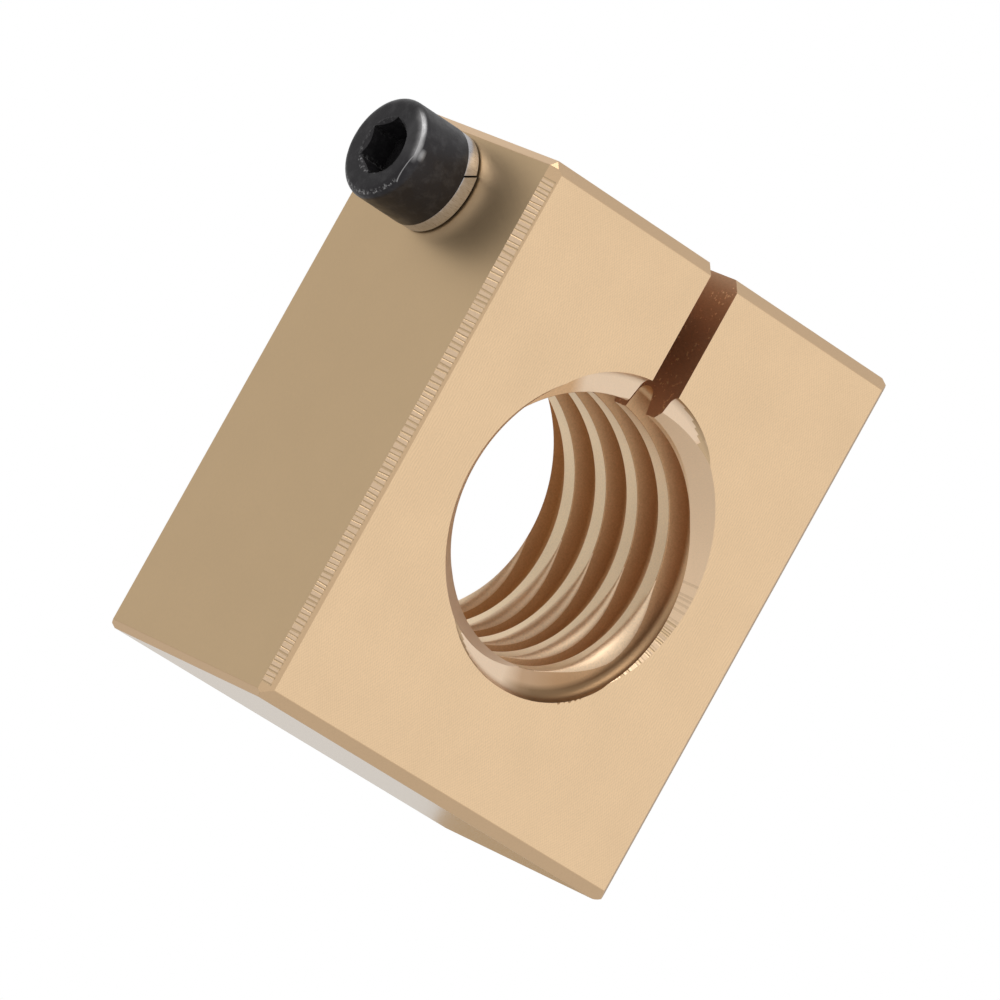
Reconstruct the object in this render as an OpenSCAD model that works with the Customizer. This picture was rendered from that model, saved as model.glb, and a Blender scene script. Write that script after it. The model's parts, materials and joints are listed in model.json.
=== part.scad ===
// Lead screw nut: a split bronze block with a two-start left-hand trapezoidal
// thread, closed on its screw by one socket head cap screw and a spring washer.
// Millimetres. X runs across the slit, Y along the lead screw with the front
// face at negative Y, and Z up from the base. The origin is the middle of the
// block's bottom face.

/* [Block] */
// Width across the slit
block_width = 45.8; // [42:0.1:60]
// Depth along the lead screw
block_depth = 25.6; // [22:0.1:40]
// Height from the base to the slit's mouth
block_height = 54.4; // [52:0.1:70]
// Chamfer round the front face
front_chamfer = 1.05; // [0.3:0.05:1.6]
// Chamfer on all the other edges
edge_chamfer = 0.7; // [0.2:0.05:1.2]
// Width of the saw slit
slit_width = 3.6; // [2:0.1:5]

/* [Lead screw thread] */
// Bore measured across the crests of the thread
bore_size = 25.8; // [20:0.1:28]
// Depth of the groove from crest to root
thread_depth = 2.5; // [1.5:0.1:3]
// Distance from one crest to the next
thread_pitch = 5; // [4.5:0.1:6]
// Number of grooves that run side by side
thread_starts = 2; // [1:1:3]
// Width of the flat land on each crest
crest_land = 1.95; // [1.2:0.05:2.2]
// Slope of each flank, in degrees
flank_slope = 15; // [10:0.5:18]
// Rounding where the flanks meet the root
root_rounding = 1.05; // [0.3:0.05:1.2]
// Turn of the first groove where it leaves the front face, in degrees
thread_turn = 95; // [0:1:179]
// Width of the chamfer at each mouth, measured along the radius
mouth_width = 1.85; // [0.5:0.05:2.4]
// Depth of the chamfer at each mouth, measured along the bore
mouth_depth = 1.85; // [0.5:0.05:3]

/* [Clamp screw] */
// Diameter of the screw's shank
screw_size = 6; // [5:0.1:6.4]
// Length of the screw under its head
screw_length = 40; // [32:0.5:41]
// Diameter of the screw's head
head_size = 10; // [9:0.1:11]
// Height of the screw's head
head_height = 6; // [4.5:0.1:7]
// Rounding of the head's outer rim
head_rounding = 0.6; // [0.1:0.05:1]
// Width of the hexagon socket across its flats
socket_size = 5; // [4:0.1:5.5]
// Depth of the hexagon socket
socket_depth = 3; // [2:0.1:3.5]
// Turn of a corner of the hexagon socket, up from the back, in degrees
socket_turn = 28; // [0:1:59]
// Chamfer at the tip of the screw
tip_chamfer = 0.8; // [0.3:0.05:1.2]
// Distance of the screw's axis below the top face
screw_below_top = 5.9; // [5.5:0.1:7]
// Distance of the screw's axis behind the front face
screw_behind_front = 14; // [8:0.1:14.5]
// Room all round the shank in the left half's hole
clearance_room = 0.3; // [0.1:0.05:0.5]
// Room all round the shank in the right half's tapped hole
tapped_room = 0.05; // [0.02:0.01:0.1]
// Length of tapped hole left free beyond the screw's tip
tapped_spare = 2; // [0.5:0.1:4]

/* [Lock washer] */
// Outside diameter of the washer
washer_size = 9.9; // [9:0.1:11]
// Thickness of the washer, pressed flat
washer_thickness = 1.6; // [1:0.1:2]
// Room all round the shank inside the washer
washer_room = 0.05; // [0.02:0.01:0.3]
// Width of the split through the washer
split_width = 0.4; // [0.2:0.05:1]
// Lean of the split, in degrees
split_lean = 30; // [0:1:35]
// Turn of the split round the screw, up from the back, in degrees
split_turn = 163; // [0:1:359]

/* [Hidden] */

$fn = 96;
// How far a cutter reaches past the surface it opens
over = 1;

half_width = block_width / 2;
half_depth = block_depth / 2;
half_slit = slit_width / 2;
bore_height = block_height / 2;
crest_radius = bore_size / 2;

// The groove's section, given by its half widths across the bore's axis
thread_lead = thread_pitch * thread_starts;
groove_half = (thread_pitch - crest_land) / 2;
root_half = groove_half - thread_depth * tan(flank_slope);
// A rounding as large as the root can hold, or the one asked for
corner_share = tan((90 - flank_slope) / 2);
root_fillet = min(root_rounding, 0.97 * root_half / corner_share);
// The groove starts inside the open bore, so that it cuts clean through the wall
inside_bore = 0.5;
inner_half = groove_half + inside_bore * tan(flank_slope);
fillet_steps = 4;
steps_per_turn = 40;

// The groove starts and ends outside the block
run_out = thread_pitch / 2 + 0.2;
groove_length = block_depth + 2 * run_out;
groove_steps = ceil(groove_length / thread_lead * steps_per_turn);

screw_y = screw_behind_front - half_depth;
screw_z = block_height - screw_below_top;
shank_radius = screw_size / 2;
washer_face = -half_width - washer_thickness;
tip_x = washer_face + screw_length;
hole_end = tip_x + tapped_spare;
drill_slope = 31;

// One corner of the groove's root, as points from the flank round to the root.
// Each point is [distance from the groove's middle, height above the crest].
function root_corner() = [
    for (step = [0 : fillet_steps])
        let (turn = step * (90 - flank_slope) / fillet_steps)
        [
            root_half - root_fillet * corner_share
                + root_fillet * cos(flank_slope + turn),
            thread_depth - root_fillet
                + root_fillet * sin(flank_slope + turn)
        ]
];

function mirrored(points) = [
    for (i = [len(points) - 1 : -1 : 0]) [-points[i][0], points[i][1]]
];

// The whole section, from the rear flank round the root to the front flank
function groove_section() = concat(
    [[inner_half, -inside_bore]],
    root_corner(),
    mirrored(root_corner()),
    [[-inner_half, -inside_bore]]
);

// A point of the section carried along the helix. The groove moves back as it
// turns anticlockwise seen from the front, which makes the thread left-handed.
function on_helix(point, turn, along) = [
    (crest_radius + point[1]) * cos(turn),
    along + point[0],
    (crest_radius + point[1]) * sin(turn)
];

// Faces between neighbouring sections, two triangles to each edge
function groove_sides(count) = [
    for (step = [0 : groove_steps - 1])
        for (edge = [0 : count - 1])
            let (next = (edge + 1) % count)
            for (half = [0, 1])
                half == 0
                    ? [
                        step * count + edge,
                        step * count + next,
                        (step + 1) * count + next
                    ]
                    : [
                        step * count + edge,
                        (step + 1) * count + next,
                        (step + 1) * count + edge
                    ]
];

module thread_groove(first_turn) {
    section = groove_section();
    count = len(section);
    last = groove_steps * count;
    points = [
        for (step = [0 : groove_steps])
            let (along = -half_depth - run_out + step * groove_length / groove_steps)
            let (turn = first_turn + (along + half_depth) * 360 / thread_lead)
            for (point = section) on_helix(point, turn, along)
    ];
    near_cap = [for (i = [count - 1 : -1 : 0]) i];
    far_cap = [for (i = [0 : count - 1]) last + i];
    translate([0, 0, bore_height])
        polyhedron(points, concat(groove_sides(count), [near_cap], [far_cap]));
}

// A rectangle from [left, bottom] to [right, top] with its corners cut off:
// by one amount on the low side of its first axis and another on the high side
function cut_corners(low, high, low_cut, high_cut) = [
    [low[0] + low_cut, low[1]],
    [high[0] - high_cut, low[1]],
    [high[0], low[1] + high_cut],
    [high[0], high[1] - high_cut],
    [high[0] - high_cut, high[1]],
    [low[0] + low_cut, high[1]],
    [low[0], high[1] - low_cut],
    [low[0], low[1] + low_cut]
];

// The block as it leaves the mill: three chamfered outlines crossed at right angles
module chamfered_block() {
    intersection() {
        rotate([90, 0, 0])
            translate([0, 0, -half_depth])
                linear_extrude(block_depth)
                    polygon(cut_corners(
                        [-half_width, 0],
                        [half_width, block_height],
                        edge_chamfer,
                        edge_chamfer
                    ));
        rotate([90, 0, 90])
            translate([0, 0, -half_width])
                linear_extrude(block_width)
                    polygon(cut_corners(
                        [-half_depth, 0],
                        [half_depth, block_height],
                        front_chamfer,
                        edge_chamfer
                    ));
        rotate([0, 0, 90])
            linear_extrude(block_height)
                polygon(cut_corners(
                    [-half_depth, -half_width],
                    [half_depth, half_width],
                    front_chamfer,
                    edge_chamfer
                ));
    }
}

// The bore to the thread's crests, opened by a chamfer at each mouth
module bore() {
    mouth_radius = crest_radius + mouth_width;
    slope = mouth_width / mouth_depth;
    translate([0, 0, bore_height]) {
        rotate([-90, 15, 0])
            cylinder(r = crest_radius, h = block_depth + 2 * over, center = true);
        for (side = [0, 180])
            rotate([0, 0, side])
                translate([0, -half_depth - over, 0])
                    rotate([-90, 0, 0])
                        cylinder(
                            r1 = mouth_radius + over * slope,
                            r2 = crest_radius,
                            h = mouth_depth + over
                        );
    }
}

module slit() {
    translate([-half_slit, -half_depth - over, bore_height])
        cube([slit_width, block_depth + 2 * over, bore_height + over]);
}

// Clearance hole in the left half, tapped hole with a drilled end in the right
module screw_holes() {
    clear_radius = shank_radius + clearance_room;
    tapped_radius = shank_radius + tapped_room;
    translate([0, screw_y, screw_z])
        rotate([0, 90, 0]) {
            translate([0, 0, -half_width - over])
                cylinder(r = clear_radius, h = half_width + over);
            cylinder(r = tapped_radius, h = hole_end);
            translate([0, 0, hole_end])
                cylinder(r1 = tapped_radius, r2 = 0, h = tapped_radius * tan(drill_slope));
        }
}

module nut_body() {
    color([0.72, 0.58, 0.4])
        difference() {
            chamfered_block();
            bore();
            slit();
            screw_holes();
            for (start = [0 : thread_starts - 1])
                thread_groove(thread_turn + start * 360 / thread_starts);
        }
}

// Half the section of the screw, turned about its axis. Heights run from the
// outer face of the head, at 0, to the tip.
function screw_section() = concat(
    [[0, 0]],
    [
        for (step = [0 : 5])
            let (turn = step * 18)
            [
                head_size / 2 - head_rounding + head_rounding * sin(turn),
                head_rounding - head_rounding * cos(turn)
            ]
    ],
    [
        [head_size / 2, head_height],
        [shank_radius, head_height],
        [shank_radius, head_height + screw_length - tip_chamfer],
        [shank_radius - tip_chamfer, head_height + screw_length],
        [0, head_height + screw_length]
    ]
);

module clamp_screw() {
    socket_radius = socket_size / 2 / cos(30);
    color([0.16, 0.15, 0.16])
        translate([washer_face - head_height, screw_y, screw_z])
            rotate([0, 90, 0])
                difference() {
                    rotate_extrude()
                        polygon(screw_section());
                    rotate([0, 0, 90 + socket_turn])
                        translate([0, 0, -over])
                            cylinder(r = socket_radius, h = socket_depth + over, $fn = 6);
                    translate([0, 0, socket_depth])
                        cylinder(r1 = socket_size / 2, r2 = 0, h = socket_size / 2 * tan(drill_slope));
                }
}

module lock_washer() {
    reach = washer_size / 2 + over;
    color([0.6, 0.58, 0.55])
        translate([washer_face, screw_y, screw_z])
            rotate([0, 90, 0])
                difference() {
                    cylinder(r = washer_size / 2, h = washer_thickness);
                    translate([0, 0, -over])
                        cylinder(r = shank_radius + washer_room, h = washer_thickness + 2 * over);
                    rotate([0, 0, 90 + split_turn])
                        translate([reach / 2, 0, washer_thickness / 2])
                            rotate([split_lean, 0, 0])
                                cube([reach, split_width, 4 * washer_thickness], center = true);
                }
}

nut_body();
clamp_screw();
lock_washer();
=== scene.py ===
# %% [markdown]
# # A split lead screw nut
#
# The object is a bronze nut for a coarse lead screw. A block is milled square,
# bored and threaded, sawn open from the top, and closed again by one cap screw.
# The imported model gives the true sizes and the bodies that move. This lesson sets
# up the camera and the light, and then dresses those pieces: sharper geometry
# first, and after it the finishes.

# %% Load the frame
import json
import math
import random

import bmesh
import bpy
from mathutils import Matrix, Quaternion, Vector


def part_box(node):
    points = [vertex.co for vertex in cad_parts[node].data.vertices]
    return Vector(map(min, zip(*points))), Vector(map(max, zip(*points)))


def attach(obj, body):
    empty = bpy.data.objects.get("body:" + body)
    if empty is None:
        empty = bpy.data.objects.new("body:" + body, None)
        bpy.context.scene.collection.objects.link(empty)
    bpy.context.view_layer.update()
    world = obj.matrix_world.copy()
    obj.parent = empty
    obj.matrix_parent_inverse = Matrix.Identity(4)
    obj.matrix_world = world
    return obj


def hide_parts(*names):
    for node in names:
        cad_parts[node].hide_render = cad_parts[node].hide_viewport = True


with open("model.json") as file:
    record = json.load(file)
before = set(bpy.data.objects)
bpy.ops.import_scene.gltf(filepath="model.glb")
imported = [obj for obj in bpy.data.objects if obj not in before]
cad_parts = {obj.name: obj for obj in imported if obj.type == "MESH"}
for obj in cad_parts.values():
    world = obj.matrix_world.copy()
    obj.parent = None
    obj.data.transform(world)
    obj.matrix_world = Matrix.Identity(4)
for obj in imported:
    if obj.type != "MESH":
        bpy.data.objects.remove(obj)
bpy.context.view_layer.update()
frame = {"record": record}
block_low, block_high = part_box("nut_body")
screw_low, screw_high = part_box("clamp_screw")
washer_low, washer_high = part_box("lock_washer")
print("block", tuple(block_low), tuple(block_high))
print("screw", tuple(screw_low), tuple(screw_high))
print("washer", tuple(washer_low), tuple(washer_high))

# %% [markdown]
# ## Sizes
#
# A machinist works from a drawing, so the sizes that several cuts share, and that
# the box of each piece can't tell, are written here once, in metres. A size that
# only one cut needs stands in that cut's own cell.

# %% Sizes of the thread, the slit and the screw
MM = 0.001
bore_axis = Vector((0, 0, (block_low.z + block_high.z) / 2))
crest_radius = 12.9 * MM
thread_depth = 2.5 * MM
thread_pitch = 5 * MM
thread_starts = 2
thread_lead = thread_pitch * thread_starts
crest_land = 1.78 * MM
flank_slope = math.radians(15)
slit_width = 3.6 * MM
shank_radius = 3 * MM
joints = frame["record"]["behaviour"]["joints"]
turning = next(joint for joint in joints if joint["name"] == "screw_turn")
screw_axis = Vector((0, turning["pos_m"][1], turning["pos_m"][2]))
print("bore axis", tuple(bore_axis), "screw axis", tuple(screw_axis))

# %% [markdown]
# ## Camera
#
# The nut is seen from its front left, from a little below its base, with a long
# lens. The camera is rolled, because the nut was turned like a diamond when it
# was looked at. A long lens keeps the block's edges nearly parallel.

# %% Camera
camera_place = Vector((-0.55464, -0.71769, -0.04189))
camera_aim = Vector((-0.001012, -0.000765, 0.027222))
camera_roll = math.radians(29.13)

camera_data = bpy.data.cameras.new("bench_camera")
camera_data.sensor_width = 36
camera_data.lens = 361.62
camera = bpy.data.objects.new("bench_camera", camera_data)
bpy.context.scene.collection.objects.link(camera)
look = (camera_aim - camera_place).to_track_quat("-Z", "Y")
camera.rotation_mode = "QUATERNION"
camera.rotation_quaternion = look @ Quaternion((0, 0, 1), camera_roll)
camera.location = camera_place
bpy.context.scene.camera = camera
bpy.context.scene.view_settings.view_transform = "Standard"
print("camera is", round((camera_aim - camera_place).length, 3), "m away")

# %% [markdown]
# ## Node trees
#
# A finish is a small tree of shader nodes. The first helper adds a node with its
# settings, and a socket that is given as an input is joined to it. The others add
# the nodes that are wanted most, so that each tree reads from top to bottom.

# %% Helpers for node trees
def add_node(tree, kind, inputs=None, **settings):
    node = tree.nodes.new(kind)
    for name, value in settings.items():
        setattr(node, name, value)
    for name, value in (inputs or {}).items():
        if isinstance(value, bpy.types.NodeSocket):
            tree.links.new(value, node.inputs[name])
        else:
            node.inputs[name].default_value = value
    return node


def math_node(tree, operation, *values):
    inputs = dict(enumerate(values))
    return add_node(tree, "ShaderNodeMath", inputs, operation=operation).outputs[0]


def dot_node(tree, *vectors):
    inputs = dict(enumerate(vectors))
    node = add_node(tree, "ShaderNodeVectorMath", inputs, operation="DOT_PRODUCT")
    return node.outputs["Value"]


# %% [markdown]
# ## Studio
#
# Metal shows what is round it more than it shows its own colour. So the world is
# a pale room that is brightest ahead and to the right, and dimmer behind the left
# side. Three lobes shape it: a white screen high behind the nut, a weaker one low
# behind it, and a dark flag far to its right, which draws a thin line down that
# edge. Each lobe is a direction, its sharpness and how much light it adds. The
# camera itself sees plain white.

# %% World
world = bpy.data.worlds.new("studio_room")
bpy.context.scene.world = world
world.use_nodes = True
room = world.node_tree
room.nodes.clear()

bright_side = Vector((0.61, -0.79, 0.08)).normalized()
side_level = 0.805
side_swing = 0.195
height_swing = -0.28
screen_above = ((0.05, 0.77, 0.64), 10, 0.32)
screen_below = ((-0.12, 0.75, -0.65), 12, 0.18)
dark_flag = ((0.86, 0.51, 0.05), 30, -0.5)

direction = add_node(room, "ShaderNodeTexCoord").outputs["Generated"]
facing = dot_node(room, direction, bright_side)
side_tone = math_node(room, "MULTIPLY_ADD", facing, side_swing, side_level)
height = add_node(room, "ShaderNodeSeparateXYZ", {0: direction}).outputs["Z"]
off_level = math_node(room, "ABSOLUTE", height)
level_tone = math_node(room, "MULTIPLY_ADD", off_level, height_swing, 1)
room_tone = math_node(room, "MULTIPLY", side_tone, level_tone)
for aim, sharpness, gain in (screen_above, screen_below, dark_flag):
    toward = dot_node(room, direction, Vector(aim).normalized())
    lobe = math_node(room, "POWER", math_node(room, "MAXIMUM", toward, 0), sharpness)
    room_tone = math_node(room, "MULTIPLY_ADD", lobe, gain, room_tone)
room_light = add_node(room, "ShaderNodeBackground", {"Strength": room_tone})
backdrop = add_node(room, "ShaderNodeBackground", {"Strength": 1.0})
for light in (room_light, backdrop):
    light.inputs["Color"].default_value = (1, 1, 1, 1)
seen = add_node(room, "ShaderNodeLightPath").outputs["Is Camera Ray"]
mixed = add_node(room, "ShaderNodeMixShader", {
    0: seen,
    1: room_light.outputs[0],
    2: backdrop.outputs[0],
})
add_node(room, "ShaderNodeOutputWorld", {"Surface": mixed.outputs[0]})
print("room is made of", len(room.nodes), "nodes")

# %% [markdown]
# One wide lamp hangs high over the nut, a little to its front left. It is wide,
# because a small lamp would give hard shadows and a bright spot on the metal.

# %% Lamp
def soft_lamp(name, place, aim, size, watts):
    data = bpy.data.lights.new(name, "AREA")
    data.shape = "DISK"
    data.size = size
    data.energy = watts
    lamp = bpy.data.objects.new(name, data)
    bpy.context.scene.collection.objects.link(lamp)
    lamp.location = place
    lamp.rotation_mode = "QUATERNION"
    lamp.rotation_quaternion = (aim - lamp.location).to_track_quat("-Z", "Y")
    return lamp


lamp_place = Vector((-0.217, -0.145, 0.7))
key_lamp = soft_lamp("key_lamp", lamp_place, bore_axis, size=0.5, watts=2)
print("lamp", tuple(key_lamp.location))

# %% [markdown]
# The floor takes the nut's shadow when it is seen from above. Only the camera
# sees it, and it is open from below, because the camera looks from under the
# base. A tan card stands far behind and below the bench. It shows in the polished
# base, as the line where the reflection turns from white paper to bronze.

# %% Floor and card
def stage_plane(name, width, depth):
    bm = bmesh.new()
    bmesh.ops.create_grid(bm, x_segments=1, y_segments=1, size=0.5)
    bmesh.ops.scale(bm, verts=bm.verts, vec=(width, depth, 1))
    mesh = bpy.data.meshes.new(name)
    bm.to_mesh(mesh)
    bm.free()
    plane = bpy.data.objects.new(name, mesh)
    bpy.context.scene.collection.objects.link(plane)
    paint = bpy.data.materials.new(name + "_paint")
    paint.use_nodes = True
    paint.node_tree.nodes.clear()
    mesh.materials.append(paint)
    return plane, paint.node_tree


floor, paper = stage_plane("studio_floor", 3, 3)
floor.location.z = -0.2 * MM
floor.visible_glossy = False
floor.visible_diffuse = False
floor.visible_transmission = False
floor.visible_shadow = False
matt = add_node(paper, "ShaderNodeBsdfDiffuse", {"Color": (0.86, 0.86, 0.86, 1)})
clear = add_node(paper, "ShaderNodeBsdfTransparent")
under = add_node(paper, "ShaderNodeNewGeometry").outputs["Backfacing"]
either = add_node(paper, "ShaderNodeMixShader", {
    0: under,
    1: matt.outputs[0],
    2: clear.outputs[0],
})
add_node(paper, "ShaderNodeOutputMaterial", {"Surface": either.outputs[0]})

ahead = Vector((camera_aim.x - camera_place.x, camera_aim.y - camera_place.y, 0))
ahead.normalize()
across = Vector((ahead.y, -ahead.x, 0))
card_width = 0.24
card_height = 0.09
card_edge = 0.0156
card_distance = 0.704
card, card_paint = stage_plane("tan_card", card_width, card_height)
card.rotation_mode = "QUATERNION"
card.rotation_quaternion = ahead.to_track_quat("Z", "Y")
card.location = ahead * card_distance + across * (card_edge + card_width / 2)
card.location.z = -0.06
card.visible_camera = False
card.visible_diffuse = False
card.visible_shadow = False
tan_light = add_node(card_paint, "ShaderNodeEmission", {"Color": (0.426, 0.294, 0.158, 1)})
add_node(card_paint, "ShaderNodeOutputMaterial", {"Surface": tan_light.outputs[0]})
print("card stands at", tuple(round(n, 3) for n in card.location))

# %% [markdown]
# ## Bench tools
#
# `finish_mesh` turns a bmesh into a Blender object that sits at the origin.
# `boolean` cuts a cutter's shape out of a piece, or joins the two, and then throws
# the cutter away.

# %% From a bmesh to a piece
def finish_mesh(bm, name):
    mesh = bpy.data.meshes.new(name)
    bm.to_mesh(mesh)
    bm.free()
    piece = bpy.data.objects.new(name, mesh)
    bpy.context.scene.collection.objects.link(piece)
    return piece


def boolean(piece, cutter, operation="DIFFERENCE"):
    step = piece.modifiers.new("cut", "BOOLEAN")
    step.operation = operation
    step.object = cutter
    step.solver = "EXACT"
    bpy.context.view_layer.update()
    graph = bpy.context.evaluated_depsgraph_get()
    cut_mesh = bpy.data.meshes.new_from_object(piece.evaluated_get(graph))
    piece.modifiers.clear()
    old_mesh = piece.data
    name = old_mesh.name
    piece.data = cut_mesh
    bpy.data.meshes.remove(old_mesh)
    cut_mesh.name = name
    cutter_name = cutter.name
    cutter_mesh = cutter.data
    bpy.data.objects.remove(cutter)
    bpy.data.meshes.remove(cutter_mesh)
    print(name, operation.lower(), cutter_name, "->", len(cut_mesh.polygons), "faces")


# %% [markdown]
# These helpers each do what one machine does. `mill_flat` slices a plane off a
# solid and closes the cut with a flat face. `block_solid` is a sawn block, and
# `round_solid` is a turned bar, a drill or a cone, made from near to far.

# %% Stock and cutters
def mill_flat(bm, point, normal):
    everything = bm.verts[:] + bm.edges[:] + bm.faces[:]
    cut = bmesh.ops.bisect_plane(
        bm, geom=everything, plane_co=point, plane_no=normal, clear_outer=True
    )
    rim = [part for part in cut["geom_cut"] if isinstance(part, bmesh.types.BMEdge)]
    bmesh.ops.contextual_create(bm, geom=rim)


def block_solid(low, high):
    bm = bmesh.new()
    size = high - low
    place = Matrix.Translation((low + high) / 2) @ Matrix.Diagonal((*size, 1))
    bmesh.ops.create_cube(bm, size=1, matrix=place)
    return bm


def round_solid(place, axis, radius_near, radius_far, length, segments=96):
    bm = bmesh.new()
    turn = Vector(axis).to_track_quat("Z", "Y").to_matrix().to_4x4()
    middle = Vector(place) + Vector(axis) * length / 2
    bmesh.ops.create_cone(
        bm,
        cap_ends=True,
        segments=segments,
        radius1=radius_near,
        radius2=radius_far,
        depth=length,
        matrix=Matrix.Translation(middle) @ turn,
    )
    return bm


def count_open_edges(bm):
    return sum(1 for edge in bm.edges if not edge.is_manifold)


# %% [markdown]
# ## The block
#
# The block is sawn from bar and milled on six sides, and then every edge is
# broken. A bevel would do it, but the edges have several widths, so each chamfer
# is one plane sliced off, as the mill does it. The lower right edge was filed
# round instead. Last, a hair's width is taken off the sharp edges, because no
# real edge is perfectly sharp, and that hair is what catches the light.

# %% Block
FACES = {
    "left": Vector((-1, 0, 0)),
    "right": Vector((1, 0, 0)),
    "front": Vector((0, -1, 0)),
    "back": Vector((0, 1, 0)),
    "base": Vector((0, 0, -1)),
    "top": Vector((0, 0, 1)),
}
EDGE_WIDTHS = {
    ("front", "left"): 1.0,
    ("front", "right"): 0.95,
    ("front", "top"): 1.08,
    ("front", "base"): 1.12,
    ("left", "base"): 0.62,
    ("left", "top"): 0.73,
    ("right", "top"): 0.7,
    ("back", "left"): 0.68,
    ("back", "right"): 0.68,
    ("back", "top"): 0.68,
    ("back", "base"): 0.68,
}
corner_width = 1.72 * MM
filed_radius = 0.95 * MM


def corner_of(names):
    corner = Vector((0, 0, 0))
    for name in names:
        side = FACES[name]
        for i in range(3):
            if side[i] > 0:
                corner[i] = block_high[i]
            if side[i] < 0:
                corner[i] = block_low[i]
    return corner


def break_edge(bm, names, width):
    normal = sum((FACES[name] for name in names), Vector((0, 0, 0)))
    point = corner_of(names) - FACES[names[0]] * width
    mill_flat(bm, point, normal.normalized())


def file_round(bm, names, radius, strokes=5):
    first, second = (FACES[name] for name in names)
    centre = corner_of(names) - (first + second) * radius
    for stroke in range(1, strokes + 1):
        angle = math.radians(90 * stroke / (strokes + 1))
        normal = first * math.cos(angle) + second * math.sin(angle)
        mill_flat(bm, centre + normal * radius, normal)


block_mesh = block_solid(block_low, block_high)
file_round(block_mesh, ("right", "base"), filed_radius)
for names, width in EDGE_WIDTHS.items():
    break_edge(block_mesh, names, width * MM)
break_edge(block_mesh, ("front", "left", "top"), corner_width)
print("block has", len(block_mesh.faces), "faces")

# %% Hair's width off the sharp edges
chamfer_way = (FACES["front"] + FACES["left"]).normalized()
keen_angle = math.radians(20)
hair_width = 0.045 * MM


def on_chattered_chamfer(face):
    return face.normal.dot(chamfer_way) > 0.99


block_mesh.normal_update()
keen_edges = [
    edge for edge in block_mesh.edges
    if edge.calc_face_angle(0) > keen_angle
    and not any(on_chattered_chamfer(face) for face in edge.link_faces)
]
bmesh.ops.bevel(
    block_mesh,
    geom=keen_edges,
    offset=hair_width,
    offset_type="OFFSET",
    segments=2,
    profile=0.5,
    affect="EDGES",
    material=-1,
)
print("edges broken", len(keen_edges))

# %% [markdown]
# The end mill left chatter on the front left chamfer: one small groove for each
# tooth, on the side next to the left face, and shorter towards the base. The
# rest of the chamfer stayed plain. The chamfer is sliced twice along its length,
# which parts the chattered strip from the plain one, and then across, three times
# for each groove. The middle line of the three is pushed in a few hundredths of a
# millimetre, along the left face at the edge so that the face stays flat.
# A place on the chamfer is given by its share of the width, from 0 at the left
# face to 1 at the front face.

# %% The chattered strip
chamfer_width = EDGE_WIDTHS["front", "left"] * MM
left_corner = Vector((block_low.x, block_low.y + chamfer_width, 0))
front_corner = Vector((block_low.x + chamfer_width, block_low.y, 0))
width_way = front_corner - left_corner
share_at_base = 0.6
share_at_top = 0.84


def chatter_share(place):
    return (place - left_corner).dot(width_way) / width_way.length_squared


def chatter_reach(height):
    return share_at_base + (share_at_top - share_at_base) * height / block_high.z


print("chatter reaches", chatter_reach(0), "to", chatter_reach(block_high.z), "of the width")

# %% Chatter on the front left chamfer
chatter = random.Random(5)
chatter_margin = 0.07
chatter_above_base = 1.3 * MM
chatter_below_top = 1.9 * MM


def slice_chamfer(bm, point, normal):
    parts = set()
    for face in bm.faces:
        if on_chattered_chamfer(face):
            parts.add(face)
            parts.update(face.edges)
            parts.update(face.verts)
    cut = bmesh.ops.bisect_plane(
        bm, geom=list(parts), plane_co=point, plane_no=normal.normalized()
    )
    return [part for part in cut["geom_cut"] if isinstance(part, bmesh.types.BMVert)]


def chatter_chamfer(bm, pitch, groove, depth):
    rise = Vector((0, 0, block_high.z)) + width_way * (share_at_top - share_at_base)
    for margin in (0, chatter_margin):
        start = left_corner + width_way * (share_at_base + margin)
        slice_chamfer(bm, start, rise.cross(chamfer_way))
    bottoms = []
    height = block_low.z + chatter_above_base
    while height < block_high.z - chatter_below_top:
        slant = chatter.uniform(-0.05, 0.04)
        lines = []
        width = groove * chatter.uniform(0.7, 1.3)
        for offset in (0, width / 2, width):
            point = Vector((block_low.x, block_low.y, height + offset))
            lines.append(slice_chamfer(bm, point, Vector((slant, -slant, 1))))
        bottoms.append(lines[1])
        height += width + pitch * chatter.choice((0.4, 0.5, 0.55, 0.6, 0.8))
    for corners in bottoms:
        push = depth * chatter.uniform(0.5, 1.0)
        for corner in corners:
            share = chatter_share(corner.co)
            at_left_face = share < 0.01
            if at_left_face:
                corner.co.y += push
            elif share < chatter_reach(corner.co.z) + 0.02:
                corner.co -= chamfer_way * push * 0.7
    return len(bottoms)


block_mesh.normal_update()
grooves_cut = chatter_chamfer(
    block_mesh, pitch=0.52 * MM, groove=0.2 * MM, depth=0.07 * MM
)
bmesh.ops.recalc_face_normals(block_mesh, faces=block_mesh.faces)
print("chatter grooves", grooves_cut)
nut = finish_mesh(block_mesh, "milled_nut")

# %% [markdown]
# ## Threads
#
# Both threads of this part are made the same way. A chain of edges is the
# thread's outline along one lead. It is spun round the axis, and at each step it
# also moves along the axis, so that after one turn it has moved one lead and
# meets itself. The ends are sliced flat. A spin with a slide turns right-handed
# when both go by the right-hand rule, and left-handed when they disagree.

# %% Thread tools
def round_corners(bm, corners, reach, segments):
    bmesh.ops.bevel(
        bm,
        geom=corners,
        offset=reach,
        offset_type="OFFSET",
        segments=segments,
        profile=0.5,
        affect="VERTICES",
        material=-1,
    )


def join_points(bm, places):
    chain = [bm.verts.new(place) for place in places]
    for first, second in zip(chain, chain[1:]):
        bm.edges.new((first, second))
    return chain


def spin_thread(bm, centre, spin_axis, advance, turns, steps):
    bmesh.ops.spin(
        bm,
        geom=bm.verts[:] + bm.edges[:],
        cent=centre,
        axis=spin_axis,
        dvec=advance / steps,
        angle=math.tau * turns,
        steps=steps * turns,
        use_merge=False,
    )
    bmesh.ops.remove_doubles(bm, verts=bm.verts, dist=0.002 * MM)


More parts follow.
